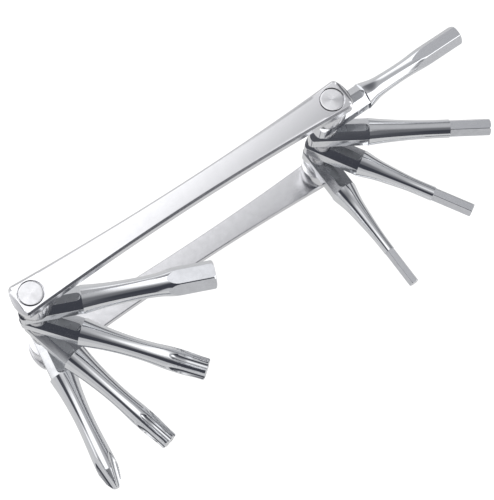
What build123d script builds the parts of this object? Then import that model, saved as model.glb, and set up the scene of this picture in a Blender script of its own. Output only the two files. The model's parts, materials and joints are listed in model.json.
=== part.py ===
from build123d import *
import os

os.makedirs("parts", exist_ok=True)

# Frame: Z runs along the two pivot axes, the rear plate lies flat on z = 0,
# X runs from the left pivot to the right pivot, origin midway between them.
# All sizes are in millimetres.

# ---- handle ----
PIVOT_X = 53.0             # each pivot axis from the middle
PLATE_THICKNESS = 3.6
PLATE_GAP = 53.2           # clear space between the two plates
WAIST_HALF_WIDTH = 3.5     # half width of a plate in the middle
END_HALF_WIDTH = 5.25      # half width of a plate at its corners
CORNER_X = 57.25           # corners of a plate from the middle
END_BULGE = 1.5            # how far the curved end stands past its corners
CORNER_RADIUS = 1.6
BEVEL_DROP = 1.3           # height of the sloping facet on each plate end
EDGE_CHAMFER = 0.7         # along the outer long edges
HEIGHT = PLATE_GAP + 2 * PLATE_THICKNESS

# ---- pivots ----
HEAD_RADIUS = 3.6          # flush heads of screw and sleeve
HEAD_THICKNESS = 1.8
HEAD_SEAT_RADIUS = 3.85    # counterbore round each head
HEAD_EDGE = 0.2
SLEEVE_RADIUS = 2.5        # the tools turn on this
THREAD_RADIUS = 1.5
THREAD_BORE_RADIUS = 1.55
SCREW_REACH = 20.0         # screw shank below its head
BORE_DEPTH = 24.0
DRIVE_ACROSS_FLATS = 3.0   # hex socket in the sleeve head
DRIVE_DEPTH = 2.4
PLATE_HOLE_RADIUS = 2.55
RING_BORE_RADIUS = 2.6     # spacers, washers and springs slip over the sleeve
SPACER_RADIUS = 5.2
SPACER_CUP_RADIUS = 4.0    # recess in the front spacer round the spring and the top washer
SPACER_TANG_GAP = 0.35     # front spacer above the first tang
WASHER_RADIUS = 3.65
SPRING_RADIUS = 3.6
SPRING_THICKNESS = 0.45
SPRING_HEIGHT = 0.8

# ---- tool stack ----
LAYERS = 4
PITCH = 10.3               # from one tool to the next along the pivot
LOWEST_LAYER_Z = 15.1      # centre of the rearmost tool
TANG_THICKNESS = 7.2
SLIDE_GAP = 0.05           # free play on each face of a tang
WASHER_THICKNESS = PITCH - TANG_THICKNESS - 2 * SLIDE_GAP
END_WASHER_THICKNESS = 0.6 # below the lowest and above the highest tang

# ---- tools ----
BORE_RADIUS = 2.55
BAR_RADIUS = 4.36          # round stock at the root of every tool
ROOT_ACROSS_FLATS = 7.46   # six flats milled on the root
ROOT_FLATS_END = 13.65     # where those flats stop, from the pivot
ROOT_BACK = 5.0            # how far a tang reaches behind the pivot
ROOT_CORNER = 1.6          # rounding of the tang's back corners, seen along the pivot
FACE_SLOT_RADIUS = 4.3     # cutter that thins the root to the tang
FACE_SLOT_END = 9.7        # last centre of that cutter
CUT = 12.0                 # oversize for cutting blocks
TIP_LENGTH = 52.4          # the longer tools, pivot to tip
RUN_OUT_RADIUS = 14.0      # how a star flute curves out at its root end


def ring(outer, inner, low, high):
    body = Cylinder(outer, high - low) - Cylinder(inner, high - low + 1)
    return Pos(0, 0, (low + high) / 2) * body


def revolved(points, axis=Axis.X):
    return revolve(make_face(Polyline(*points, close=True)), axis)


def plate():
    """Waisted side plate with its outer face at z = PLATE_THICKNESS."""
    x, y, t = CORNER_X, END_HALF_WIDTH, PLATE_THICKNESS
    outline = [
        ThreePointArc((-x, y), (0, WAIST_HALF_WIDTH), (x, y)),
        ThreePointArc((x, y), (x + END_BULGE, 0), (x, -y)),
        ThreePointArc((x, -y), (0, -WAIST_HALF_WIDTH), (-x, -y)),
        ThreePointArc((-x, -y), (-x - END_BULGE, 0), (-x, y)),
    ]
    body = extrude(make_face(outline), t)
    body = fillet(body.edges().filter_by(Axis.Z), CORNER_RADIUS)
    long_edges = body.faces().sort_by(Axis.Z)[-1].edges().sort_by(SortBy.LENGTH)[-2:]
    body = chamfer(long_edges, EDGE_CHAMFER)
    wedge = Plane.XZ * make_face(Polyline(
        (x, t), (x + END_BULGE, t - BEVEL_DROP), (x + CUT, t - BEVEL_DROP),
        (x + CUT, t + 1), (x, t + 1), close=True))
    wedge = extrude(wedge, CUT, both=True)
    body -= [wedge, mirror(wedge, Plane.YZ)]
    for side in (-1, 1):
        body -= Pos(side * PIVOT_X, 0, t / 2) * Cylinder(PLATE_HOLE_RADIUS, t + 1)
        body -= Pos(side * PIVOT_X, 0, t) * Cylinder(HEAD_SEAT_RADIUS, 2 * HEAD_THICKNESS)
    return body


def pivot_head():
    """Flush head, outer face at z = 0, body below it."""
    head = Pos(0, 0, -HEAD_THICKNESS / 2) * Cylinder(HEAD_RADIUS, HEAD_THICKNESS)
    return chamfer(head.edges().sort_by(Axis.Z)[-1], HEAD_EDGE)


def pivot_screw():
    """Screw put in from the front, its head flush with the front plate."""
    shank = Pos(0, 0, -HEAD_THICKNESS - SCREW_REACH / 2) * Cylinder(THREAD_RADIUS, SCREW_REACH)
    shank = chamfer(shank.edges().sort_by(Axis.Z)[0], HEAD_EDGE * 2)
    return Pos(0, 0, HEIGHT) * (pivot_head() + shank)


def pivot_sleeve():
    """Long threaded sleeve put in from the rear; the tools turn on it."""
    top = HEIGHT - HEAD_THICKNESS
    body = Rot(180, 0, 0) * pivot_head()
    body += Pos(0, 0, (HEAD_THICKNESS + top) / 2) * Cylinder(SLEEVE_RADIUS, top - HEAD_THICKNESS)
    body -= Pos(0, 0, top - BORE_DEPTH / 2) * Cylinder(THREAD_BORE_RADIUS, BORE_DEPTH)
    socket = RegularPolygon(DRIVE_ACROSS_FLATS / 2, 6, major_radius=False)
    return body - extrude(socket, DRIVE_DEPTH)


def layer_z(layer):
    """Centre height of a tool layer; layer 0 is next to the front plate."""
    return LOWEST_LAYER_Z + PITCH * (LAYERS - 1 - layer)


TANGS_LOW = layer_z(LAYERS - 1) - TANG_THICKNESS / 2 - SLIDE_GAP
TANGS_HIGH = layer_z(0) + TANG_THICKNESS / 2 + SLIDE_GAP
STACK_LOW = TANGS_LOW - END_WASHER_THICKNESS
STACK_HIGH = TANGS_HIGH + END_WASHER_THICKNESS


def washers():
    """A thick washer between neighbouring tangs, a thin one at each end of the stack."""
    spans = [(STACK_LOW, TANGS_LOW), (TANGS_HIGH, STACK_HIGH)]
    for layer in range(1, LAYERS):
        low = layer_z(layer) + TANG_THICKNESS / 2 + SLIDE_GAP
        spans.append((low, low + WASHER_THICKNESS))
    return [ring(WASHER_RADIUS, RING_BORE_RADIUS, low, high) for low, high in spans]


def front_spacer():
    """Spacer under the front plate; its skirt hides the spring and the top washer."""
    spring_top = STACK_HIGH + SPRING_HEIGHT
    skirt_low = TANGS_HIGH - SLIDE_GAP + SPACER_TANG_GAP
    body = ring(SPACER_RADIUS, RING_BORE_RADIUS, spring_top, HEIGHT - PLATE_THICKNESS)
    return body + ring(SPACER_RADIUS, SPACER_CUP_RADIUS, skirt_low, spring_top)


def disc_spring():
    """Shallow cone that keeps the stack pressed together."""
    low, rise = STACK_HIGH, SPRING_HEIGHT - SPRING_THICKNESS
    return revolved([(RING_BORE_RADIUS, 0, low + rise), (SPRING_RADIUS, 0, low),
                     (SPRING_RADIUS, 0, low + SPRING_THICKNESS),
                     (RING_BORE_RADIUS, 0, low + SPRING_HEIGHT)], Axis.Z)


def flat_cutters(across_flats, start, end, first_angle):
    """Six blocks that leave a hexagon standing round the X axis."""
    block = Pos((start + end) / 2, (across_flats + CUT) / 2, 0) * Box(end - start, CUT, 2 * CUT)
    return [Rot(first_angle + 60 * k, 0, 0) * block for k in range(6)]


def blank(shaft, tip):
    """Turned bar along +X: plain root, curved shaft, then straight-sided tip."""
    curve = Spline((ROOT_FLATS_END, BAR_RADIUS), *shaft, tangents=((1, -0.12), (1, 0.0)))
    rest = Polyline(shaft[-1], *tip, (-ROOT_BACK, 0), (-ROOT_BACK, BAR_RADIUS),
                    (ROOT_FLATS_END, BAR_RADIUS))
    return revolve(make_face([curve, rest]), Axis.X)


def with_root(body):
    """Mill the root flats, the rounded back corners, the thin tang and the pivot bore."""
    body -= flat_cutters(ROOT_ACROSS_FLATS, -CUT, ROOT_FLATS_END, 0)
    back = extrude(RectangleRounded(2 * CUT, ROOT_ACROSS_FLATS, ROOT_CORNER), CUT, both=True)
    body = body & (Pos(CUT - ROOT_BACK, 0, 0) * back + Pos(CUT * 3, 0, 0) * Box(CUT * 6, CUT, CUT))
    depth = CUT - TANG_THICKNESS / 2
    slot = Pos(FACE_SLOT_END / 2, 0, 0) * SlotCenterToCenter(FACE_SLOT_END, 2 * FACE_SLOT_RADIUS)
    slot += Pos(-CUT / 2, 0, 0) * Rectangle(CUT, 2 * FACE_SLOT_RADIUS)
    cutter = extrude(slot, depth)
    body -= Pos(0, 0, TANG_THICKNESS / 2) * cutter
    body -= Pos(0, 0, -TANG_THICKNESS / 2 - depth) * cutter
    return body - Cylinder(BORE_RADIUS, CUT)


def hex_tool(size, length, corner, shaft, shoulder=None):
    """Hexagonal key with turned corners, flats from the waist on, or stepped at a shoulder."""
    edge = 0.06 * size + 0.12
    tip = [(length - edge, corner), (length, corner - edge), (length, 0)]
    start = min(shaft, key=lambda point: point[1])[0]
    if shoulder:
        tip = [(shoulder + (shaft[-1][1] - corner) / 2, corner)] + tip
        start = shoulder
    return with_root(blank(shaft, tip) - flat_cutters(size, start, length + 1, 30))


def star_tool(outer, inner, shaft, neck):
    """Six-lobed key: round-bottomed flutes that rise out of the flared neck."""
    r, flute = outer / 2, outer * 0.155
    tip = [(TIP_LENGTH - 0.3, r), (TIP_LENGTH, r - 0.3), (TIP_LENGTH, 0)]
    body = blank(shaft, tip)
    depth = inner / 2 + flute
    path = Line((TIP_LENGTH + 1, depth), (neck, depth))
    path += Pos(neck, depth + RUN_OUT_RADIUS, 0) * CenterArc((0, 0), RUN_OUT_RADIUS, 270, -45)
    groove = sweep(Plane(path @ 0, z_dir=(-1, 0, 0)) * Circle(flute), path)
    return with_root(body - [Rot(30 + 60 * k, 0, 0) * groove for k in range(6)])


def cross_tool(shaft, tip):
    """Cross-recess driver: pointed end with four leaf-shaped flutes."""
    body = blank(shaft, tip)
    groove = Pos(TIP_LENGTH, 2.35, 0) * Rot(0, 0, -8.5) * Rot(0, 90, 0) * Cylinder(1.75, 40)
    return with_root(body - [Rot(45 + 90 * k, 0, 0) * groove for k in range(4)])


# Shaft outlines as (distance from the pivot, radius), root end first.
SHAFT_HEX_8 = [(18, 3.85), (22, 3.54), (28, 3.35), (34, 3.42), (38, 3.8), (42.5, 4.48)]
SHAFT_HEX_6 = [(18, 3.34), (22, 2.96), (28, 2.82), (34, 3.07), (38.5, 3.38)]
SHAFT_HEX_5 = [(18, 3.84), (24, 3.34), (30, 3.0), (39.4, 2.9)]
SHAFT_HEX_4 = [(18, 3.56), (24, 2.88), (30, 2.42), (38.7, 2.33)]
SHAFT_HEX_3 = [(18, 3.42), (24, 2.62), (30, 2.08), (38.5, 1.78)]
SHAFT_STAR_LARGE = [(18, 3.78), (22, 3.36), (29, 3.02), (36, 3.18), (42, 3.56)]
SHAFT_STAR_MEDIUM = [(18, 3.76), (22, 3.34), (31, 2.86), (36, 2.94), (41, 3.12)]
SHAFT_CROSS = [(18, 3.7), (22, 3.27), (30, 2.9), (36, 3.02), (45, 3.32)]
TIP_CROSS = [(46.4, 3.32), (50, 2.4), (52, 1.3), (TIP_LENGTH, 0.8), (TIP_LENGTH, 0)]

# name, pivot side, layer from the front, direction in degrees, solid
# The hexagons are a few hundredths under their nominal size, as keys are made.
TOOLS = [
    ("hex_key_8mm", -1, 0, -23.4, hex_tool(7.92, 53.2, 4.48, SHAFT_HEX_8)),
    ("star_key_large", -1, 1, -52.3, star_tool(6.65, 4.8, SHAFT_STAR_LARGE, 44.5)),
    ("star_key_medium", -1, 2, -76.8, star_tool(5.52, 4.0, SHAFT_STAR_MEDIUM, 45.5)),
    ("cross_key", -1, 3, -98.6, cross_tool(SHAFT_CROSS, TIP_CROSS)),
    ("hex_key_6mm", 1, 0, 0.6, hex_tool(5.94, 50.9, 3.38, SHAFT_HEX_6)),
    ("hex_key_5mm", 1, 1, -32.1, hex_tool(4.94, 52.4, 2.8, SHAFT_HEX_5, 39.4)),
    ("hex_key_4mm", 1, 2, -59.6, hex_tool(3.96, 52.0, 2.25, SHAFT_HEX_4, 38.7)),
    ("hex_key_3mm", 1, 3, -90.4, hex_tool(2.96, 51.7, 1.69, SHAFT_HEX_3, 38.5)),
]


def save(name, shape, x=0.0):
    export_step(Pos(x, 0, 0) * shape, f"parts/{name}.step")


save("front_plate", Pos(0, 0, HEIGHT - PLATE_THICKNESS) * plate())
save("rear_plate", Pos(0, 0, PLATE_THICKNESS) * Rot(180, 0, 0) * plate())

for side, x in (("left", -PIVOT_X), ("right", PIVOT_X)):
    save(f"{side}_pivot_screw", pivot_screw(), x)
    save(f"{side}_pivot_sleeve", pivot_sleeve(), x)
    save(f"{side}_rear_spacer", ring(SPACER_RADIUS, RING_BORE_RADIUS, PLATE_THICKNESS, STACK_LOW), x)
    save(f"{side}_front_spacer", front_spacer(), x)
    save(f"{side}_disc_spring", disc_spring(), x)
    save(f"{side}_thrust_washers", Compound(children=washers()), x)

for name, side, layer, angle, solid in TOOLS:
    save(name, Pos(side * PIVOT_X, 0, layer_z(layer)) * Rot(0, 0, angle) * solid)
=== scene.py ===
import json
import math

import bmesh
import bpy
import numpy as np
from mathutils import Matrix, Vector


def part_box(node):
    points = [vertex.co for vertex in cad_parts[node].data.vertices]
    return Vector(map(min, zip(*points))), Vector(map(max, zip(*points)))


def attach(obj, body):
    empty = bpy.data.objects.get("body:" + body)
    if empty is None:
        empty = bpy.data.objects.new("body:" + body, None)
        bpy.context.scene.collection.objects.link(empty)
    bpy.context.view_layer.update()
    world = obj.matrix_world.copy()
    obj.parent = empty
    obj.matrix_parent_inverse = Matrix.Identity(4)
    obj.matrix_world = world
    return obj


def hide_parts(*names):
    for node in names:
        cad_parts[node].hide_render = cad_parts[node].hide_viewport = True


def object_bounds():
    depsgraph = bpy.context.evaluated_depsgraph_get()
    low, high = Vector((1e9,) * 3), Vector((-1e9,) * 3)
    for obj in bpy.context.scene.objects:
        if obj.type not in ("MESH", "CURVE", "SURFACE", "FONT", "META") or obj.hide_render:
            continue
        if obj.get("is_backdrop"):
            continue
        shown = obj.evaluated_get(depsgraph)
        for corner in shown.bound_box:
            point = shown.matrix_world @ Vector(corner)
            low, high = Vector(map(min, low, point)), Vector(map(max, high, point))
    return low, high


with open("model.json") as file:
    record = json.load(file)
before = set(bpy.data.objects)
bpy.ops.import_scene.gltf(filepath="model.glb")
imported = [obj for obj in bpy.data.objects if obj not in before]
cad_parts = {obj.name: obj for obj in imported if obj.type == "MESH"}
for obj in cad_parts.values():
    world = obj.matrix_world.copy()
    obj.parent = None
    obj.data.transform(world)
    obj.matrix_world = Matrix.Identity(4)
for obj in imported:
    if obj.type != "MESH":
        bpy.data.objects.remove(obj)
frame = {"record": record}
cad_low, cad_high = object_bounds()
joints = {joint["child"]: joint for joint in frame["record"]["behaviour"]["joints"]}
pivot_x = max(joint["pos_m"][0] for joint in joints.values())
height = cad_high[2] - cad_low[2]

# Shapes are built in millimetres and scaled to metres when they are placed.
MM = 0.001

# ---- side plates ----
PLATE_THICKNESS = 3.6
WAIST_HALF_WIDTH = 3.5
END_HALF_WIDTH = 5.25
CORNER_X = 57.25
END_BULGE = 1.5
CORNER_RADIUS = 1.6
BEVEL_DROP = 0.9           # of the sloping end facets, over the length of the bulge
EDGE_CHAMFER = 0.7         # outer face
EDGE_ROUNDING = 0.1        # where that chamfer meets the face and the side
INNER_CHAMFER = 0.3        # inner face
FACE_CROWN = 0.05          # the polished faces are slightly lower at their long edges

# ---- pivots ----
HEAD_RADIUS = 3.6
HEAD_THICKNESS = 1.8
HEAD_SEAT_RADIUS = 3.85
SLEEVE_RADIUS = 2.5
THREAD_RADIUS = 1.5
THREAD_BORE_RADIUS = 1.55
SCREW_REACH = 20.0
BORE_DEPTH = 24.0
DRIVE_ACROSS_FLATS = 3.0
DRIVE_DEPTH = 2.4
PLATE_HOLE_RADIUS = 2.55
RING_BORE_RADIUS = 2.6
SPACER_CUP_RADIUS = 4.0    # the front spacers reach over the spring and the top washer
SPACER_CUP_DEPTH = 1.1
END_WASHER = 0.6           # thickness of the washers at both ends of a stack

# ---- tool roots ----
BAR_RADIUS = 4.36
ROOT_ACROSS_FLATS = 7.46
ROOT_FLATS_END = 13.65
ROOT_BACK = 5.0
ROOT_CORNER = 1.6
TANG_HALF = 3.58           # half the tang's thickness
SLOT_RADIUS = 2.0          # of the end mill that leaves the tang
SLOT_END = 11.5            # where that end mill's axis stops
SLOT_FILLET = 0.75         # its corner radius
BORE_RADIUS = 2.55
RUN_OUT_RADIUS = 14.0      # how the star flutes curve out at their root ends
CROSS_CORE = 0.75          # core radius of the cross driver at its end
CROSS_RISE = 0.235         # how fast its flutes get shallower away from the end
CROSS_FLUTE = 2.05         # radius of its flutes

SEGMENTS = 96
FINE_SEGMENTS = 240        # for shafts with flutes
CUTTER_REACH = 12.0        # how far a ring cutter reaches past anything it cuts

# the POCKET faces get a darker material: painted shade of the recess between neighbouring tangs
TURNED, MILLED, POCKET, TIP = 0, 1, 2, 3   # order of the finishes on a tool
INSIDE = 1                                 # finish of a plate's inner face; the rest has 0


# ---------------------------------------------------------------- mesh building
def mesh_object(name, points, faces, finish=TURNED):
    """An object in millimetres; its faces get the given finish number."""
    mesh = bpy.data.meshes.new(name)
    mesh.from_pydata([tuple(map(float, point)) for point in points], [], faces)
    shape = bmesh.new()
    shape.from_mesh(mesh)
    bmesh.ops.recalc_face_normals(shape, faces=shape.faces)
    for face in shape.faces:
        face.material_index = finish
    shape.to_mesh(mesh)
    shape.free()
    made = bpy.data.objects.new(name, mesh)
    bpy.context.scene.collection.objects.link(made)
    for material in (None,) * 4:
        mesh.materials.append(material)
    return made


def stacked(loops, closed_ends=True):
    """Points and faces of a tube through loops that have equally many points."""
    count = len(loops[0])
    points = np.vstack(loops)
    faces = []
    for row in range(len(loops) - 1):
        a, b = row * count, (row + 1) * count
        for k in range(count):
            n = (k + 1) % count
            faces.append((a + k, a + n, b + n, b + k))
    if closed_ends:
        faces.append(tuple(range(count)))
        faces.append(tuple(range((len(loops) - 1) * count, len(loops) * count)))
    return points, faces


def ring_faces(outer, inner):
    """Closed ring-shaped body between two equally long stacks of loops."""
    points_out, faces_out = stacked(outer, closed_ends=False)
    points_in, faces_in = stacked(inner, closed_ends=False)
    shift, count = len(points_out), len(outer[0])
    faces = faces_out + [tuple(i + shift for i in face) for face in faces_in]
    for row in (0, len(outer) - 1):
        start = row * count
        for k in range(count):
            n = (k + 1) % count
            faces.append((start + k, start + n, shift + start + n, shift + start + k))
    return np.vstack([points_out, points_in]), faces


def round_x(x, radius, segments=SEGMENTS):
    """Loop round the X axis; the radius may differ from segment to segment."""
    angle = np.arange(segments) * 2 * math.pi / segments
    return np.column_stack([np.full(segments, float(x)), radius * np.cos(angle), radius * np.sin(angle)])


def round_z(radius, z, segments=SEGMENTS):
    """Loop round the Z axis."""
    angle = np.arange(segments) * 2 * math.pi / segments
    return np.column_stack([radius * np.cos(angle), radius * np.sin(angle), np.full(segments, float(z))])


def lathe_z(name, profile, finish=TURNED, segments=SEGMENTS):
    """Solid turned round the Z axis from (radius, z) points, from one end to the other."""
    return mesh_object(name, *stacked([round_z(r, z, segments) for r, z in profile]), finish)


def ring_z(name, profile, finish=TURNED, segments=SEGMENTS):
    """Ring turned round the Z axis from a closed outline of (radius, z) points."""
    loops = [round_z(r, z, segments) for r, z in profile]
    loops.append(loops[0])
    points, faces = stacked(loops, closed_ends=False)
    last = (len(loops) - 1) * segments
    faces = [tuple(i % last for i in face) for face in faces]
    return mesh_object(name, points[:last], faces, finish)


def remove(objects):
    for gone in objects:
        bpy.data.objects.remove(gone, do_unlink=True)


def cut(body, cutters, operation="DIFFERENCE"):
    """Applies exact booleans and deletes the cutters."""
    for cutter in cutters:
        modifier = body.modifiers.new("cut", "BOOLEAN")
        modifier.operation = operation
        modifier.solver = "EXACT"
        modifier.object = cutter
    bpy.context.view_layer.update()
    graph = bpy.context.evaluated_depsgraph_get()
    result = bpy.data.meshes.new_from_object(body.evaluated_get(graph))
    body.modifiers.clear()
    body.data = result
    remove(cutters)
    return body


def finish_mesh(body, materials, sharp_angle=28):
    """Cleans the mesh, marks its real creases and gives it its materials."""
    mesh = body.data
    shape = bmesh.new()
    shape.from_mesh(mesh)
    bmesh.ops.remove_doubles(shape, verts=shape.verts, dist=2e-4)
    bmesh.ops.dissolve_degenerate(shape, dist=1e-4, edges=shape.edges)
    limit = math.radians(sharp_angle)
    for face in shape.faces:
        face.smooth = True
    for edge in shape.edges:
        if len(edge.link_faces) == 2:
            a, b = edge.link_faces
            edge.smooth = a.material_index == b.material_index and edge.calc_face_angle(0) < limit
    shape.to_mesh(mesh)
    shape.free()
    # clearing the material slots also resets the finish of every face
    finishes = [polygon.material_index for polygon in mesh.polygons]
    mesh.materials.clear()
    for material in materials:
        mesh.materials.append(material)
    mesh.polygons.foreach_set("material_index", finishes)
    return body


def place(body, name, location=(0, 0, 0), turn=0.0, flip=False):
    """Scales to metres and puts the object at its place in the row frame."""
    body.data.transform(Matrix.Scale(MM, 4))
    body.name = body.data.name = name
    tilt = Matrix.Rotation(math.pi, 4, "X") if flip else Matrix.Identity(4)
    body.matrix_world = Matrix.Translation(Vector(location)) @ Matrix.Rotation(turn, 4, "Z") @ tilt
    return body


# ---------------------------------------------------------------- outlines
def curve_through(knots, first_slope, last_slope):
    """Smooth function through (x, y) knots with given slopes at both ends."""
    x, y = np.array(knots, float).T
    step, count = np.diff(x), len(x)
    matrix, right = np.zeros((count, count)), np.zeros(count)
    matrix[0, :2] = 2 * step[0], step[0]
    matrix[-1, -2:] = step[-1], 2 * step[-1]
    right[0] = 6 * ((y[1] - y[0]) / step[0] - first_slope)
    right[-1] = 6 * (last_slope - (y[-1] - y[-2]) / step[-1])
    for i in range(1, count - 1):
        matrix[i, i - 1:i + 2] = step[i - 1], 2 * (step[i - 1] + step[i]), step[i]
        right[i] = 6 * ((y[i + 1] - y[i]) / step[i] - (y[i] - y[i - 1]) / step[i - 1])
    bend = np.linalg.solve(matrix, right)

    def at(where):
        i = int(np.clip(np.searchsorted(x, where) - 1, 0, count - 2))
        before, after, h = where - x[i], x[i + 1] - where, step[i]
        return ((bend[i] * after ** 3 + bend[i + 1] * before ** 3) / (6 * h)
                + (y[i] / h - bend[i] * h / 6) * after + (y[i + 1] / h - bend[i + 1] * h / 6) * before)
    return at


def rounded_polygon(corners, radius, steps=5):
    """Corner points of a convex polygon, each replaced by a small arc."""
    result = []
    count = len(corners)
    radii = np.broadcast_to(radius, count)
    for k in range(count):
        here = np.array(corners[k], float)
        back = np.array(corners[k - 1], float) - here
        ahead = np.array(corners[(k + 1) % count], float) - here
        back /= np.linalg.norm(back)
        ahead /= np.linalg.norm(ahead)
        half = math.acos(np.clip(back @ ahead, -1, 1)) / 2
        centre = here + (back + ahead) / np.linalg.norm(back + ahead) * radii[k] / math.sin(half)
        start = here + back * radii[k] / math.tan(half) - centre
        end = here + ahead * radii[k] / math.tan(half) - centre
        turn = math.atan2(start[0] * end[1] - start[1] * end[0], start @ end)
        for step in range(steps + 1):
            a = turn * step / steps
            result.append(centre + (start[0] * math.cos(a) - start[1] * math.sin(a),
                                    start[0] * math.sin(a) + start[1] * math.cos(a)))
    return np.array(result)


def hexagon(across_flats, first_corner):
    """Corner points; the first corner is given in degrees from the first coordinate axis."""
    corner = across_flats / math.sqrt(3)
    return [(corner * math.cos(math.radians(first_corner + 60 * k)),
             corner * math.sin(math.radians(first_corner + 60 * k))) for k in range(6)]


def root_section():
    """Hexagon with one corner up; the end mill takes that corner off down to the tang."""
    return rounded_polygon(hexagon(ROOT_ACROSS_FLATS, 30), 0.25)


def mill(inner, start, end, finish=MILLED):
    """Cutter that leaves the given section standing round the X axis between start and end."""
    outer = inner / np.linalg.norm(inner, axis=1)[:, None] * CUTTER_REACH

    def at(x, section):
        return np.column_stack([np.full(len(section), float(x)), section])
    return mesh_object("mill", *ring_faces([at(start, outer), at(end, outer)],
                                           [at(start, inner), at(end, inner)]), finish)


def tang_mill(side):
    """End mill with rounded corners that thins the root to the tang on one side."""
    loops = []
    arc = np.radians(np.linspace(-90, 90, 49))
    steps = [(math.sin(a), 1 - math.cos(a)) for a in np.radians(np.linspace(0, 90, 9))]
    for out, up in steps + [(1, 8)]:
        radius = SLOT_RADIUS - SLOT_FILLET + SLOT_FILLET * out
        x = np.concatenate([SLOT_END + radius * np.cos(arc), [-2 * ROOT_BACK, -2 * ROOT_BACK]])
        y = np.concatenate([radius * np.sin(arc), [radius, -radius]])
        z = np.full(len(x), side * (TANG_HALF + SLOT_FILLET * up))
        loops.append(np.column_stack([x, y, z]))
    return mesh_object("tang_mill", *stacked(loops), POCKET)


def back_corner(side):
    """Cutter that rounds one back corner of a root, seen along the pivot."""
    half = ROOT_ACROSS_FLATS / 2
    centre = np.array([ROOT_CORNER - ROOT_BACK, half - ROOT_CORNER])
    arc = np.radians(np.linspace(90, 180, 17))
    edge = centre + ROOT_CORNER * np.column_stack([np.cos(arc), np.sin(arc)])
    edge[0, 1] += 0.02
    edge[-1, 0] -= 0.02
    outside = [(-ROOT_BACK - 3, edge[-1, 1]), (-ROOT_BACK - 3, half + 3), (edge[0, 0], half + 3)]
    outline = np.vstack([edge, outside]) * (1, side)
    loops = [np.column_stack([outline, np.full(len(outline), z)]) for z in (-8.0, 8.0)]
    return mesh_object("back_corner", *stacked(loops), MILLED)


def bore_cutter():
    """Bore of a tang with a small lip at both faces."""
    lip = 0.2
    profile = [(BORE_RADIUS + lip + 1, -TANG_HALF - 1), (BORE_RADIUS, -TANG_HALF + lip),
               (BORE_RADIUS, TANG_HALF - lip), (BORE_RADIUS + lip + 1, TANG_HALF + 1)]
    return lathe_z("bore", profile, MILLED)


# ---------------------------------------------------------------- tools
def shaft_rows(knots, end_slope=0.0, step=0.5, segments=SEGMENTS):
    """Rows of a turned shaft from the back of the root to the last knot."""
    radius_at = curve_through([(ROOT_FLATS_END, BAR_RADIUS)] + knots, -0.14, end_slope)
    count = round((knots[-1][0] - ROOT_FLATS_END) / step)
    back = [(-ROOT_BACK, BAR_RADIUS - 0.6), (-ROOT_BACK + 0.35, BAR_RADIUS - 0.2),
            (-ROOT_BACK + 0.8, BAR_RADIUS), (4, BAR_RADIUS)]
    rows = back + [(x, radius_at(x)) for x in np.linspace(ROOT_FLATS_END, knots[-1][0], count + 1)]
    return [(x, np.full(segments, float(r))) for x, r in rows]


def milled_root(body, more=()):
    """Cuts the six root flats, the tang faces, the back corners and the bore."""
    cutters = [mill(root_section(), -2 * ROOT_BACK, ROOT_FLATS_END)]
    cutters += [tang_mill(side) for side in (-1, 1)] + [back_corner(side) for side in (-1, 1)]
    cutters.append(bore_cutter())
    return cut(body, cutters + list(more))


def from_rows(name, rows):
    """Closed shape through (x, radii) rows."""
    return mesh_object(name, *stacked([round_x(x, r, len(r)) for x, r in rows]))


def hex_key(name, size, length, corner, knots, shoulder=None):
    """Hexagonal key; its corners are turned down to the given radius."""
    edge = 0.06 * size + 0.12
    rows = shaft_rows(knots)
    start = min(knots, key=lambda knot: knot[1])[0]
    if shoulder:
        step = knots[-1][1] - corner
        rows += [(shoulder + 0.1 * step, np.full(SEGMENTS, knots[-1][1] - 0.15 * step)),
                 (shoulder + 0.5 * step, np.full(SEGMENTS, corner))]
        start = shoulder
    last = rows[-1][0]
    rows += [(x, np.full(SEGMENTS, corner)) for x in np.linspace(last, length - edge, 12)[1:]]
    rows += [(length - 0.35 * edge, np.full(SEGMENTS, corner - 0.45 * edge)),
             (length, np.full(SEGMENTS, corner - 1.25 * edge))]
    tip = mill(rounded_polygon(hexagon(size, 0), 0.05), start, length + 3, TIP)
    return milled_root(from_rows(name, rows), [tip])


def soft_min(a, b, width):
    """The smaller of two values, with their crossing rounded over the given width."""
    blend = np.clip(0.5 + 0.5 * (b - a) / width, 0, 1)
    return b * (1 - blend) + a * blend - width * blend * (1 - blend)


def flute_radius(angle, count, first, centre, radius):
    """Radius at which round flutes with axes at the given distance cut the section."""
    off = np.mod(angle - first + math.pi / count, 2 * math.pi / count) - math.pi / count
    reach = radius ** 2 - (centre * np.sin(off)) ** 2
    depth = centre * np.cos(off) - np.sqrt(np.maximum(reach, 0))
    return np.where(reach > 0, depth, centre * np.cos(off) + 8 * (np.abs(centre * np.sin(off)) - radius))


def star_key(name, outer, inner, length, knots, neck):
    """Six-lobed key: round-bottomed flutes rise out of the flared neck."""
    tip_radius, flute = outer / 2, outer * 0.21
    rows = shaft_rows(knots, 0.0, 0.5, FINE_SEGMENTS)
    taper = curve_through([knots[-1], (length - 5.5, tip_radius + 0.2), (length - 2, tip_radius)], 0, 0)
    start = knots[-1][0]
    rows += [(x, np.full(FINE_SEGMENTS, taper(x))) for x in np.linspace(start, length - 2, 30)[1:]]
    rows += [(x, np.full(FINE_SEGMENTS, tip_radius)) for x in (length - 1.2, length - 0.4)]
    rows += [(length - 0.12, np.full(FINE_SEGMENTS, tip_radius - 0.12)),
             (length, np.full(FINE_SEGMENTS, tip_radius - 0.4))]
    angle = np.arange(FINE_SEGMENTS) * 2 * math.pi / FINE_SEGMENTS
    shaped = []
    for x, r in rows:
        if x > neck - 8:
            back = max(neck - x, 0)
            rise = RUN_OUT_RADIUS - math.sqrt(RUN_OUT_RADIUS ** 2 - back ** 2)
            fluted = flute_radius(angle, 6, math.pi / 6, inner / 2 + flute + rise, flute)
            r = soft_min(r, fluted, 0.1)
        shaped.append((x, r))
    return milled_root(from_rows(name, shaped))


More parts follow.
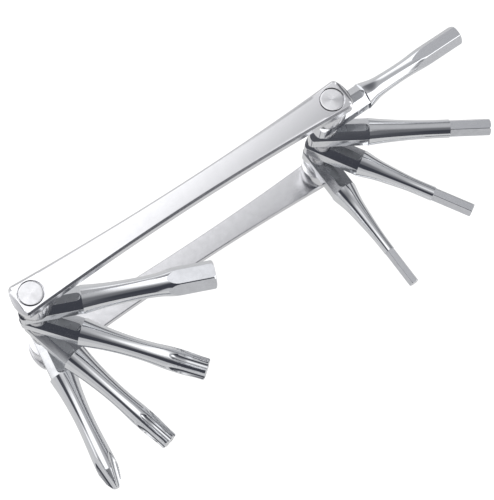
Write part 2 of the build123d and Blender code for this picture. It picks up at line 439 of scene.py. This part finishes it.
def cross_driver(name, length, knots, tip):
    """Cross-recess driver: tapered end with four leaf-shaped flutes."""
    rows = shaft_rows(knots, 0.0, 0.4, FINE_SEGMENTS)
    stations = [knots[-1]] + tip
    for (x0, r0), (x1, r1) in zip(stations, stations[1:]):
        steps = max(2, round((x1 - x0) / 0.2))
        rows += [(x0 + (x1 - x0) * k / steps, np.full(FINE_SEGMENTS, r0 + (r1 - r0) * k / steps))
                 for k in range(1, steps + 1)]
    angle = np.arange(FINE_SEGMENTS) * 2 * math.pi / FINE_SEGMENTS
    shaped = []
    for x, r in rows:
        if x > length - 16:
            core = CROSS_CORE + (length - x) * CROSS_RISE
            r = soft_min(r, flute_radius(angle, 4, math.pi / 4, core + CROSS_FLUTE, CROSS_FLUTE), 0.08)
        shaped.append((x, r))
    return milled_root(from_rows(name, shaped))


# Shaft outlines as (distance from the pivot, radius), root end first.
SHAFT_HEX_8 = [(18, 3.85), (22, 3.54), (28, 3.35), (34, 3.42), (38, 3.8), (42.5, 4.48)]
SHAFT_HEX_6 = [(18, 3.34), (22, 2.96), (28, 2.82), (34, 3.07), (38.5, 3.38)]
SHAFT_HEX_5 = [(18, 3.84), (24, 3.34), (30, 3.0), (39.4, 2.9)]
SHAFT_HEX_4 = [(18, 3.56), (24, 2.88), (30, 2.42), (38.7, 2.33)]
SHAFT_HEX_3 = [(18, 3.42), (24, 2.62), (30, 2.08), (38.5, 1.78)]
SHAFT_STAR_LARGE = [(18, 3.78), (22, 3.36), (29, 3.02), (36, 3.18), (42, 3.56)]
SHAFT_STAR_MEDIUM = [(18, 3.76), (22, 3.34), (31, 2.86), (36, 2.94), (41, 3.12)]
SHAFT_CROSS = [(18, 3.7), (22, 3.27), (30, 2.9), (36, 3.02), (45, 3.32)]
TIP_CROSS = [(46.4, 3.3), (50, 2.4), (52, 1.3), (52.4, 0.8)]

TOOLS = {
    "hex_key_8mm": lambda n: hex_key(n, size=7.92, length=53.2, corner=4.48, knots=SHAFT_HEX_8),
    "star_key_large": lambda n: star_key(n, outer=6.65, inner=4.8, length=52.4, knots=SHAFT_STAR_LARGE,
                                         neck=46.5),
    "star_key_medium": lambda n: star_key(n, outer=5.52, inner=4.0, length=52.4, knots=SHAFT_STAR_MEDIUM,
                                          neck=46.5),
    "cross_key": lambda n: cross_driver(n, length=52.4, knots=SHAFT_CROSS, tip=TIP_CROSS),
    "hex_key_6mm": lambda n: hex_key(n, size=5.94, length=50.9, corner=3.38, knots=SHAFT_HEX_6),
    "hex_key_5mm": lambda n: hex_key(n, size=4.94, length=52.4, corner=2.8, knots=SHAFT_HEX_5,
                                     shoulder=39.4),
    "hex_key_4mm": lambda n: hex_key(n, size=3.96, length=52.0, corner=2.25, knots=SHAFT_HEX_4,
                                     shoulder=38.7),
    "hex_key_3mm": lambda n: hex_key(n, size=2.96, length=51.7, corner=1.69, knots=SHAFT_HEX_3,
                                     shoulder=38.5),
}


# ---------------------------------------------------------------- plates and pivots
def plate_outline():
    """Points of the waisted outline with their outward normals."""
    sagitta = END_HALF_WIDTH - WAIST_HALF_WIDTH
    long_radius = (CORNER_X ** 2 + sagitta ** 2) / (2 * sagitta)
    long_centre = np.array([0, WAIST_HALF_WIDTH + long_radius])
    end_radius = (END_HALF_WIDTH ** 2 + END_BULGE ** 2) / (2 * END_BULGE)
    end_centre = np.array([CORNER_X + END_BULGE - end_radius, 0])
    # the corner arc touches both: its centre is where their offset circles cross
    far, near = long_radius + CORNER_RADIUS, end_radius - CORNER_RADIUS
    apart = long_centre - end_centre
    distance = np.linalg.norm(apart)
    along = (near ** 2 - far ** 2 + distance ** 2) / (2 * distance)
    across = math.sqrt(near ** 2 - along ** 2)
    unit = apart / distance
    centre = end_centre + unit * along + np.array([unit[1], -unit[0]]) * across

    points, normals = [], []

    def arc(middle, radius, first, last, count, sign):
        for a in np.linspace(first, last, count):
            direction = np.array([math.cos(a), math.sin(a)])
            points.append(middle + radius * direction)
            normals.append(sign * direction)
    to_long = math.atan2(*(centre - long_centre)[::-1])
    to_end = math.atan2(*(centre - end_centre)[::-1])
    arc(long_centre, long_radius, -math.pi / 2, to_long, 48, -1)
    arc(centre, CORNER_RADIUS, to_long + math.pi, to_end, 12, 1)
    arc(end_centre, end_radius, to_end, 0, 14, 1)
    quarter, facing = np.array(points), np.array(normals)
    keep = [0] + [i for i in range(1, len(quarter)) if np.linalg.norm(quarter[i] - quarter[i - 1]) > 1e-6]
    quarter, facing = quarter[keep], facing[keep]

    def whole(values):
        right = np.vstack([values, values[-2::-1] * (1, -1)])
        return np.vstack([right, right[-2:0:-1] * (-1, 1)])
    return whole(quarter), whole(facing)


def plate(name):
    """Side plate with its inner face at z = 0 and its outer face at z = PLATE_THICKNESS."""
    t, c, e = PLATE_THICKNESS, EDGE_CHAMFER, EDGE_ROUNDING
    levels = [(INNER_CHAMFER, 0), (t - c - 0.6 * e, 0), (t - c + 0.3 * e, 0.35 * e),
              (t - 0.35 * e, c - 0.3 * e)]
    points, normals = plate_outline()
    loops = [np.column_stack([points - inset * normals, np.full(len(points), z)]) for z, inset in levels]
    # towards the middle both faces rise by the crown
    for top, first in ((True, c + 0.6 * e), (False, INNER_CHAMFER)):
        rim = points - first * normals
        for shrink in (1.0, 0.85, 0.7, 0.5, 0.3, 0.12):
            flat = rim * (1 - 0.06 * (1 - shrink), shrink)
            drop = FACE_CROWN * (flat[:, 1] / WAIST_HALF_WIDTH) ** 2
            loop = np.column_stack([flat, t - drop if top else drop])
            loops = loops + [loop] if top else [loop] + loops
    body = mesh_object(name, *stacked(loops))
    cutters = []
    for side in (-1, 1):
        x, far = CORNER_X, CORNER_X + 2 * END_BULGE
        slope = BEVEL_DROP / END_BULGE
        # the sloping end facet, with a narrow flatter strip where it meets the face
        section = [(x - 0.15, t + 1), (x - 0.15, t), (x + 0.1, t - 0.45 * 0.1 * slope - 0.03),
                   (far, t - (far - x) * slope), (far + 4, t - (far - x) * slope), (far + 4, t + 1)]
        loops = [np.array([(side * px, y, pz) for px, pz in section]) for y in (-9.0, 9.0)]
        cutters.append(mesh_object("end_bevel", *stacked(loops)))
        lip = 0.12
        seat = lathe_z("seat", [
            (PLATE_HOLE_RADIUS + lip + 1, -1), (PLATE_HOLE_RADIUS, lip),
            (PLATE_HOLE_RADIUS, t - HEAD_THICKNESS),
            (HEAD_SEAT_RADIUS, t - HEAD_THICKNESS), (HEAD_SEAT_RADIUS, t - lip),
            (HEAD_SEAT_RADIUS + lip + 1, t + 1)])
        seat.data.transform(Matrix.Translation((side * pivot_x / MM, 0, 0)))
        cutters.append(seat)
    body = cut(body, cutters)
    for face in body.data.polygons:
        if face.center.z < FACE_CROWN + 0.02 and face.normal.z < -0.9:
            face.material_index = INSIDE
    return body


def head_profile():
    """Half outline of a flush head, outer face at z = 0, slightly crowned."""
    r = HEAD_RADIUS
    crown = [(r * k / 12, -0.05 * (k / 12) ** 2) for k in range(1, 12)]
    return [(0.05, 0.0)] + crown + [(r - 0.14, -0.06), (r - 0.05, -0.11), (r, -0.22), (r, -HEAD_THICKNESS)]


def pivot_screw(name):
    """Screw with its head's outer face at z = 0 and its plain shank below."""
    end = HEAD_THICKNESS + SCREW_REACH
    profile = head_profile() + [(THREAD_RADIUS, -HEAD_THICKNESS)]
    profile += [(THREAD_RADIUS, -end + 0.4), (THREAD_RADIUS - 0.4, -end)]
    return lathe_z(name, profile)


def pivot_sleeve(name, height):
    """Sleeve with its head's outer face at z = 0, standing up to the screw head."""
    top = height - HEAD_THICKNESS
    profile = [(r, -z) for r, z in head_profile()] + [(SLEEVE_RADIUS, HEAD_THICKNESS)]
    profile += [(SLEEVE_RADIUS, top - 0.2), (SLEEVE_RADIUS - 0.2, top)]
    body = lathe_z(name, profile)
    bore = lathe_z("bore", [(0.02, top - BORE_DEPTH - 0.8), (THREAD_BORE_RADIUS, top - BORE_DEPTH),
                            (THREAD_BORE_RADIUS, top - 0.15), (THREAD_BORE_RADIUS + 0.65, top + 0.5)])
    corners = rounded_polygon(hexagon(DRIVE_ACROSS_FLATS, 0), 0.15)
    levels = [(1.5, -0.6), (1.06, -0.01), (1.0, 0.12), (1.0, DRIVE_DEPTH)]
    loops = [np.column_stack([corners * grow, np.full(len(corners), z)]) for grow, z in levels]
    socket = mesh_object("socket", *stacked(loops), MILLED)
    return cut(body, [bore, socket])


def ring_profile(inner, outer, low, high, edge):
    """Closed outline of a ring with chamfered edges."""
    return [(inner, low + edge), (inner + edge, low), (outer - edge, low),
            (outer - 0.3 * edge, low + 0.3 * edge), (outer, low + edge), (outer, high - edge),
            (outer - 0.3 * edge, high - 0.3 * edge), (outer - edge, high), (inner + edge, high),
            (inner, high - edge)]


def merged(name, parts):
    """Joins separate shapes into one mesh."""
    shape = bmesh.new()
    for part in parts:
        shape.from_mesh(part.data)
    mesh = bpy.data.meshes.new(name)
    shape.to_mesh(mesh)
    shape.free()
    remove(parts)
    made = bpy.data.objects.new(name, mesh)
    bpy.context.scene.collection.objects.link(made)
    return made


def spring_ring(name, inner, outer, low, high, thickness):
    """Flat cone washer with rounded edges."""
    rise = (high - low) - thickness
    profile = []
    for radius, base, start in ((outer - thickness / 2, low, -90), (inner + thickness / 2, low + rise, 90)):
        for a in np.radians(np.linspace(start, start + 180, 9)):
            profile.append((radius + thickness / 2 * math.cos(a), base + thickness / 2 * (1 + math.sin(a))))
    return ring_z(name, profile)


# ---------------------------------------------------------------- materials
class Nodes:
    """Short way to add nodes to a material or world tree."""

    def __init__(self, tree):
        self.tree = tree

    def add(self, kind, values=(), **settings):
        node = self.tree.nodes.new("ShaderNode" + kind)
        for key, value in settings.items():
            setattr(node, key, value)
        for key, value in dict(values).items():
            if isinstance(value, bpy.types.NodeSocket):
                self.tree.links.new(value, node.inputs[key])
            else:
                node.inputs[key].default_value = value
        return node

    def math(self, operation, a, b=0.0):
        return self.add("Math", {0: a, 1: b}, operation=operation).outputs[0]

    def remap(self, value, low, high, to_low, to_high, smooth=False):
        return self.add("MapRange", {"Value": value, "From Min": low, "From Max": high,
                                     "To Min": to_low, "To Max": to_high},
                        interpolation_type="SMOOTHSTEP" if smooth else "LINEAR").outputs["Result"]


def metal(name, colour, roughness, grain, grain_depth, wear=0.05, tarnish=0.93, anisotropic=0.0,
          rings=False):
    """Metal with a fine directional grain, uneven sheen and slight tarnish.

    The grain is its frequency along each axis, or with rings along the radius and the height.
    """
    made = bpy.data.materials.new(name)
    made.use_nodes = True
    tree = made.node_tree
    shader = tree.nodes["Principled BSDF"]
    n = Nodes(tree)
    local = n.add("TexCoord").outputs["Object"]
    if rings:
        spread = n.add("SeparateXYZ", {0: local})
        across = n.math("SQRT", n.math("ADD", n.math("MULTIPLY", spread.outputs[0], spread.outputs[0]),
                                       n.math("MULTIPLY", spread.outputs[1], spread.outputs[1])))
        stretched = n.add("CombineXYZ", {0: n.math("MULTIPLY", across, grain[0]),
                                         2: n.math("MULTIPLY", spread.outputs[2], grain[2])}).outputs[0]
    else:
        stretched = n.add("Mapping", {"Vector": local, "Scale": grain}).outputs[0]
    lines = n.add("TexNoise", {"Vector": stretched, "Scale": 1.0, "Detail": 3.0, "Roughness": 0.6}).outputs[0]
    patches = n.add("TexNoise", {"Vector": local, "Scale": 420.0, "Detail": 4.0,
                                 "Roughness": 0.62}).outputs[0]
    sheen = n.math("ADD", n.remap(patches, 0.3, 0.7, -wear, wear),
                   n.remap(lines, 0.3, 0.7, -wear / 2, wear / 2))
    tree.links.new(n.math("ADD", sheen, roughness), shader.inputs["Roughness"])
    darker = tuple(c * tarnish for c in colour)
    tint = n.add("Mix", {"Factor": n.remap(patches, 0.35, 0.7, 0.0, 1.0), 6: (*colour, 1), 7: (*darker, 1)},
                 data_type="RGBA")
    tree.links.new(tint.outputs[2], shader.inputs["Base Color"])
    bump = n.add("Bump", {"Height": lines, "Strength": 0.25, "Distance": grain_depth})
    tree.links.new(bump.outputs[0], shader.inputs["Normal"])
    shader.inputs["Metallic"].default_value = 1.0
    if anisotropic:
        shader.inputs["Anisotropic"].default_value = anisotropic
        tangent = n.add("Tangent", direction_type="RADIAL", axis="Z")
        tree.links.new(tangent.outputs[0], shader.inputs["Tangent"])
    return made


CHROME = metal("polished_chrome", (0.86, 0.87, 0.89), 0.09, (5000, 250, 250), 2e-6, wear=0.02, tarnish=0.96)
MILLED_CHROME = metal("milled_chrome", (0.84, 0.85, 0.87), 0.15, (500, 3500, 3500), 3e-6, wear=0.03)
# tang pockets: the rougher end-milled grain is their own finish, but the much darker colour is painted shade
# for the recess between neighbouring tangs
POCKET_CHROME_PAINTED_SHADE = metal("end_milled_chrome_painted_shade", (0.36, 0.37, 0.39), 0.3, (2500, 2500, 500), 3e-6, wear=0.05)
TIP_STEEL = metal("satin_key_tip", (0.74, 0.75, 0.78), 0.2, (700, 3500, 3500), 3e-6, wear=0.04)
PLATE_METAL = metal("polished_plate", (0.84, 0.84, 0.86), 0.16, (250, 5000, 5000), 3e-6, wear=0.02,
                    tarnish=0.97)
HEAD_METAL = metal("turned_head", (0.86, 0.86, 0.88), 0.3, (7000, 0, 900), 4e-6, wear=0.05, anisotropic=0.85,
                   rings=True)
SOCKET_METAL = metal("broached_socket", (0.6, 0.6, 0.62), 0.3, (900, 900, 5000), 5e-6, wear=0.06)
INSIDE_METAL = metal("satin_plate_inside", (0.68, 0.68, 0.7), 0.24, (400, 4000, 4000), 3e-6, wear=0.03)
SPACER_METAL = metal("turned_spacer", (0.86, 0.86, 0.88), 0.2, (40, 40, 5000), 1e-6, wear=0.012, tarnish=0.97)
SPRING_METAL = metal("spring_steel", (0.5, 0.5, 0.52), 0.26, (900, 900, 900), 3e-6, wear=0.07)
WASHER_METAL = metal("ground_washer", (0.62, 0.62, 0.64), 0.24, (2500, 2500, 900), 3e-6, wear=0.06)


# ---------------------------------------------------------------- assembling
def piece(body, name, node, ride_on, materials, location=(0, 0, 0), turn=0.0, flip=False,
          sharp=28):
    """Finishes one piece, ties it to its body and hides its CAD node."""
    finish_mesh(body, materials, sharp)
    place(body, name, location, turn, flip)
    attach(body, ride_on)
    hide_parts(node)


# in the order of TURNED, MILLED, POCKET and TIP; the POCKET material is darkened with painted shade
TOOL_FINISHES = [CHROME, MILLED_CHROME, POCKET_CHROME_PAINTED_SHADE, TIP_STEEL]
for node, build in TOOLS.items():
    joint = joints[node]
    low, high = joint["range_deg"]
    # the left keys lie folded along +X at their upper limit, the right ones along -X at their lower
    angle = -high if joint["pos_m"][0] < 0 else -180 - low
    piece(build(node), node + "_body", node, node, TOOL_FINISHES, joint["pos_m"],
          math.radians(angle))

plate_height = PLATE_THICKNESS * MM
for side, z, flip in (("front", height - plate_height, False), ("rear", plate_height, True)):
    piece(plate(side), side + "_plate_body", side + "_plate", "handle", [PLATE_METAL, INSIDE_METAL],
          (0, 0, z), flip=flip, sharp=20)

for side, x in (("left", -pivot_x), ("right", pivot_x)):
    piece(pivot_screw("screw"), side + "_screw_body", side + "_pivot_screw", "handle",
          [HEAD_METAL], (x, 0, height))
    piece(pivot_sleeve("sleeve", height / MM), side + "_sleeve_body", side + "_pivot_sleeve", "handle",
          [HEAD_METAL, SOCKET_METAL], (x, 0, 0))
    for end in ("rear", "front"):
        node = f"{side}_{end}_spacer"
        low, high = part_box(node)
        radius = (high[0] - low[0]) / 2 / MM
        deep = (high[2] - low[2]) / MM
        profile = ring_profile(RING_BORE_RADIUS, radius, 0, deep, 0.22)
        if end == "front":
            cup, floor_z = SPACER_CUP_RADIUS, SPACER_CUP_DEPTH
            profile = [(RING_BORE_RADIUS, floor_z + 0.1), (RING_BORE_RADIUS + 0.1, floor_z),
                       (cup, floor_z), (cup, 0.15), (cup + 0.15, 0)] + profile[2:]
        ring = ring_z("spacer", profile)
        piece(ring, node + "_ring", node, "handle", [SPACER_METAL], (x, 0, low[2]))
    node = side + "_disc_spring"
    low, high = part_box(node)
    spring = spring_ring("spring", RING_BORE_RADIUS, (high[0] - low[0]) / 2 / MM, 0,
                         (high[2] - low[2]) / MM, 0.45)
    piece(spring, node + "_ring", node, "handle", [SPRING_METAL], (x, 0, low[2]), sharp=40)
    node = side + "_thrust_washers"
    low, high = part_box(node)
    radius = (high[0] - low[0]) / 2 / MM
    levels = sorted(joint["pos_m"][2] for joint in joints.values() if (joint["pos_m"][0] < 0) == (x < 0))
    pitch = (levels[1] - levels[0]) / MM
    # thin washers at both ends of the stack, a thick one between neighbouring tangs
    total = (high[2] - low[2]) / MM
    tang = total - 2 * END_WASHER - (len(levels) - 1) * pitch
    spans = [(0, END_WASHER), (total - END_WASHER, total)]
    spans += [(END_WASHER + tang + k * pitch, END_WASHER + (k + 1) * pitch) for k in range(len(levels) - 1)]
    rings = [ring_z("washer", ring_profile(RING_BORE_RADIUS, radius, a, b, 0.15)) for a, b in spans]
    piece(merged("washers", rings), node + "_rings", node, "handle", [WASHER_METAL],
          (x, 0, low[2]))

# ---------------------------------------------------------------- studio
FLOOR_HALF = 3.0
FLOOR_Z = -0.0001
FLOOR_MIRRORED, FLOOR_SEEN = 0.52, 0.97   # brightness in the metal and to the camera

floor = mesh_object("floor", [(FLOOR_HALF * x, FLOOR_HALF * y, FLOOR_Z)
                              for x, y in ((-1, -1), (1, -1), (1, 1), (-1, 1))], [(0, 1, 2, 3)])
floor_paint = bpy.data.materials.new("floor_paint")
floor_paint.use_nodes = True
floor_tree = Nodes(floor_paint.node_tree)
floor_shader = floor_paint.node_tree.nodes["Principled BSDF"]
floor_shader.inputs["Base Color"].default_value = (0.2, 0.2, 0.2, 1)
floor_shader.inputs["Roughness"].default_value = 0.7
floor_shader.inputs["Specular IOR Level"].default_value = 0.0
floor_shader.inputs["Emission Color"].default_value = (1, 1, 1, 1)
looked_at = floor_tree.add("LightPath").outputs["Is Camera Ray"]
floor_paint.node_tree.links.new(floor_tree.remap(looked_at, 0.0, 1.0, FLOOR_MIRRORED, FLOOR_SEEN),
                                floor_shader.inputs["Emission Strength"])
floor.data.materials.clear()
floor.data.materials.append(floor_paint)
floor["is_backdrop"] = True

world = bpy.data.worlds.new("studio")
world.use_nodes = True
bpy.context.scene.world = world
studio = Nodes(world.node_tree)
direction = studio.add("TexCoord").outputs["Generated"]


def toward(azimuth, from_zenith):
    """Unit vector for a direction given in degrees."""
    a, z = math.radians(azimuth), math.radians(from_zenith)
    return Vector((math.sin(z) * math.cos(a), math.sin(z) * math.sin(a), math.cos(z)))


def dot(vector):
    """Cosine between the looked-at direction and a vector."""
    node = studio.add("VectorMath", {0: direction, 1: tuple(vector)}, operation="DOT_PRODUCT")
    return node.outputs["Value"]


def painted(light, value, weight):
    """Light turned towards a value by a weight."""
    return studio.math("ADD", light, studio.math("MULTIPLY", weight, studio.math("SUBTRACT", value, light)))


def lobe(light, azimuth, from_zenith, inner, outer, value):
    """Soft round field on the studio dome; inside the inner angle it has the full value."""
    weight = studio.remap(dot(toward(azimuth, from_zenith)), math.cos(math.radians(outer)),
                          math.cos(math.radians(inner)), 0.0, 1.0, smooth=True)
    return painted(light, value, weight)


LIGHT = 1.4                # of the dome where nothing else is painted
BOX_LIGHT = 1.6
BACKDROP = 1.3             # what the camera sees past the floor
# azimuth, angle from the zenith, inner and outer radius in degrees, brightness
FIELDS = [
    (-33, 90, 80, 95, 0.5),      # the front right half of the dome is a step darker
    (15, 82, 26, 48, 0.14),      # dark card at the right
    (65, 95, 15, 35, 0.6),       # grey wall behind
    (-125, 35, 8, 45, 0.2),      # gap between the lamps, front left
    (-95, 40, 8, 30, 0.16),
    (172, 44, 10, 24, 0.07),     # dark band from the left round to the front, four patches
    (-150, 48, 10, 26, 0.05),
    (-125, 55, 14, 28, 0.05),
    (-106, 78, 12, 24, 0.06),
    (-90, 76, 12, 20, 0.08),     # edge of the dark gap, beside the soft box
    (175, 88, 28, 34, 0.62),     # pale wall at the left
    (-150, 92, 28, 34, 0.55),
]
light = studio.add("Value").outputs[0]
light.default_value = LIGHT
for field in FIELDS:
    light = lobe(light, *field)

# tall soft box at the front right, from high up down to the floor
BOX_LEFT, BOX_RIGHT, BOX_TOP = -70, -20, 30
after_left = studio.remap(dot(toward(BOX_LEFT + 90, 90)), -0.02, 0.04, 0.0, 1.0, smooth=True)
before_right = studio.remap(dot(toward(BOX_RIGHT - 90, 90)), -0.05, 0.1, 0.0, 1.0, smooth=True)
below_top = studio.remap(dot((0, 0, 1)), math.cos(math.radians(BOX_TOP - 4)),
                         math.cos(math.radians(BOX_TOP + 4)), 0.0, 1.0, smooth=True)
in_box = studio.math("MULTIPLY", studio.math("MULTIPLY", after_left, before_right), below_top)
light = painted(light, BOX_LIGHT, in_box)

seen = studio.add("LightPath").outputs["Is Camera Ray"]
light = painted(light, BACKDROP, seen)
background = world.node_tree.nodes["Background"]
# the dark parts of the studio are slightly blue
tinted = studio.add("CombineColor", {"Red": light, "Green": studio.math("ADD", light, 0.003),
                                     "Blue": studio.math("ADD", light, 0.016)})
world.node_tree.links.new(tinted.outputs[0], background.inputs["Color"])
background.inputs["Strength"].default_value = 1.0

bpy.context.scene.view_settings.view_transform = "Standard"

# ---------------------------------------------------------------- camera
CAMERA_PLACE = (-0.08993, -0.12823, 0.4549)
CAMERA_TURN = (19.466, -2.376, -35.557)    # degrees
SENSOR_WIDTH = 36.0                        # millimetres, like the focal length
FOCAL_LENGTH = 106.7

camera_data = bpy.data.cameras.new("camera")
camera_data.sensor_fit = "HORIZONTAL"
camera_data.sensor_width = SENSOR_WIDTH
camera_data.lens = FOCAL_LENGTH
camera_data.clip_start = 0.01
camera = bpy.data.objects.new("camera", camera_data)
camera.location = CAMERA_PLACE
camera.rotation_euler = [math.radians(a) for a in CAMERA_TURN]
bpy.context.scene.collection.objects.link(camera)
bpy.context.scene.camera = camera

low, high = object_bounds()
